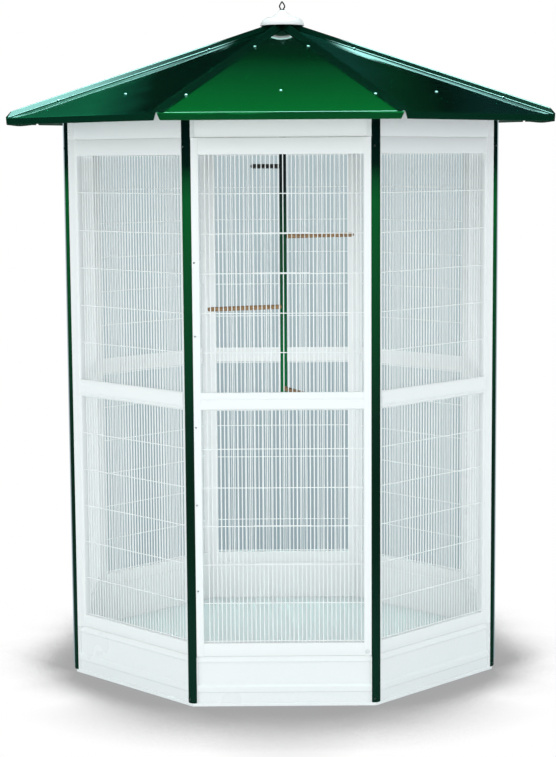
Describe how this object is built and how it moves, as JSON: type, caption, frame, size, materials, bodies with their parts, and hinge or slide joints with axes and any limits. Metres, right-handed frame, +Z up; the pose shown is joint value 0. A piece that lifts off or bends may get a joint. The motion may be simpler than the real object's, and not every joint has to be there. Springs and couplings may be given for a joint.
{
  "type": "bird cage",
  "caption": "Octagonal garden bird cage with welded wire walls, a hinged door with sliding feeder doors, perches and a folded sheet-metal roof.",
  "frame": {"origin": "on the ground, under the middle of the roof", "axes": "+Z up, the door faces -Y, +X to the right of someone who faces the door"},
  "size_m": [1.6776, 1.6776, 2.1288],
  "materials": {
    "green_enamel": "glossy dark green enamel on sheet steel and tube",
    "white_enamel": "glossy white enamel on folded sheet steel and welded wire",
    "pale_grey_enamel": "satin pale grey enamel on sheet steel",
    "pale_wood": "round bars of plain pale wood, lightly sanded",
    "dark_steel": "dark bright steel"
  },
  "bodies": {
    "cage": {"post_1": "green_enamel", "post_2": "green_enamel", "post_3": "green_enamel", "post_4": "green_enamel", "post_5": "green_enamel", "post_6": "green_enamel", "post_7": "green_enamel", "post_8": "green_enamel", "roof_panel_front": "green_enamel", "roof_panel_front_right": "green_enamel", "roof_panel_right": "green_enamel", "roof_panel_back_right": "green_enamel", "roof_panel_back": "green_enamel", "roof_panel_back_left": "green_enamel", "roof_panel_left": "green_enamel", "roof_panel_front_left": "green_enamel", "hip_cap_1": "green_enamel", "hip_cap_2": "green_enamel", "hip_cap_3": "green_enamel", "hip_cap_4": "green_enamel", "hip_cap_5": "green_enamel", "hip_cap_6": "green_enamel", "hip_cap_7": "green_enamel", "hip_cap_8": "green_enamel", "roof_hub": "green_enamel", "perch_pole": "green_enamel", "skirt_front": "white_enamel", "skirt_front_right": "white_enamel", "skirt_right": "white_enamel", "skirt_back_right": "white_enamel", "skirt_back": "white_enamel", "skirt_back_left": "white_enamel", "skirt_left": "white_enamel", "skirt_front_left": "white_enamel", "header_front": "white_enamel", "header_front_right": "white_enamel", "header_right": "white_enamel", "header_back_right": "white_enamel", "header_back": "white_enamel", "header_back_left": "white_enamel", "header_left": "white_enamel", "header_front_left": "white_enamel", "wall_front_right": "white_enamel", "wall_right": "white_enamel", "wall_back_right": "white_enamel", "wall_back": "white_enamel", "wall_back_left": "white_enamel", "wall_left": "white_enamel", "wall_front_left": "white_enamel", "finial_dome": "white_enamel", "perch_1": "pale_wood", "perch_2": "pale_wood", "perch_3": "pale_wood", "perch_4": "pale_wood", "floor_tray": "pale_grey_enamel", "finial_loop": "dark_steel"},
    "door": {"door_leaf": "white_enamel"},
    "feeder_lower": {"feeder_door_lower": "white_enamel"},
    "feeder_upper": {"feeder_door_upper": "white_enamel"},
    "catch": {"door_catch": "dark_steel"}
  },
  "joints": [
    {"name": "door_hinge", "type": "hinge", "parent": "cage", "child": "door", "pos_m": [-0.25, -0.647, 0.9], "axis": [0, 0, -1], "range_deg": [0, 90]},
    {"name": "feeder_lower_slide", "type": "slide", "parent": "door", "child": "feeder_lower", "axis": [0, 0, 1], "range_m": [0, 0.11]},
    {"name": "feeder_upper_slide", "type": "slide", "parent": "door", "child": "feeder_upper", "axis": [0, 0, 1], "range_m": [0, 0.11]},
    {"name": "catch_turn", "type": "hinge", "parent": "door", "child": "catch", "pos_m": [0.2485, -0.652, 0.164], "axis": [0, -1, 0], "range_deg": [0, 90]}
  ]
}
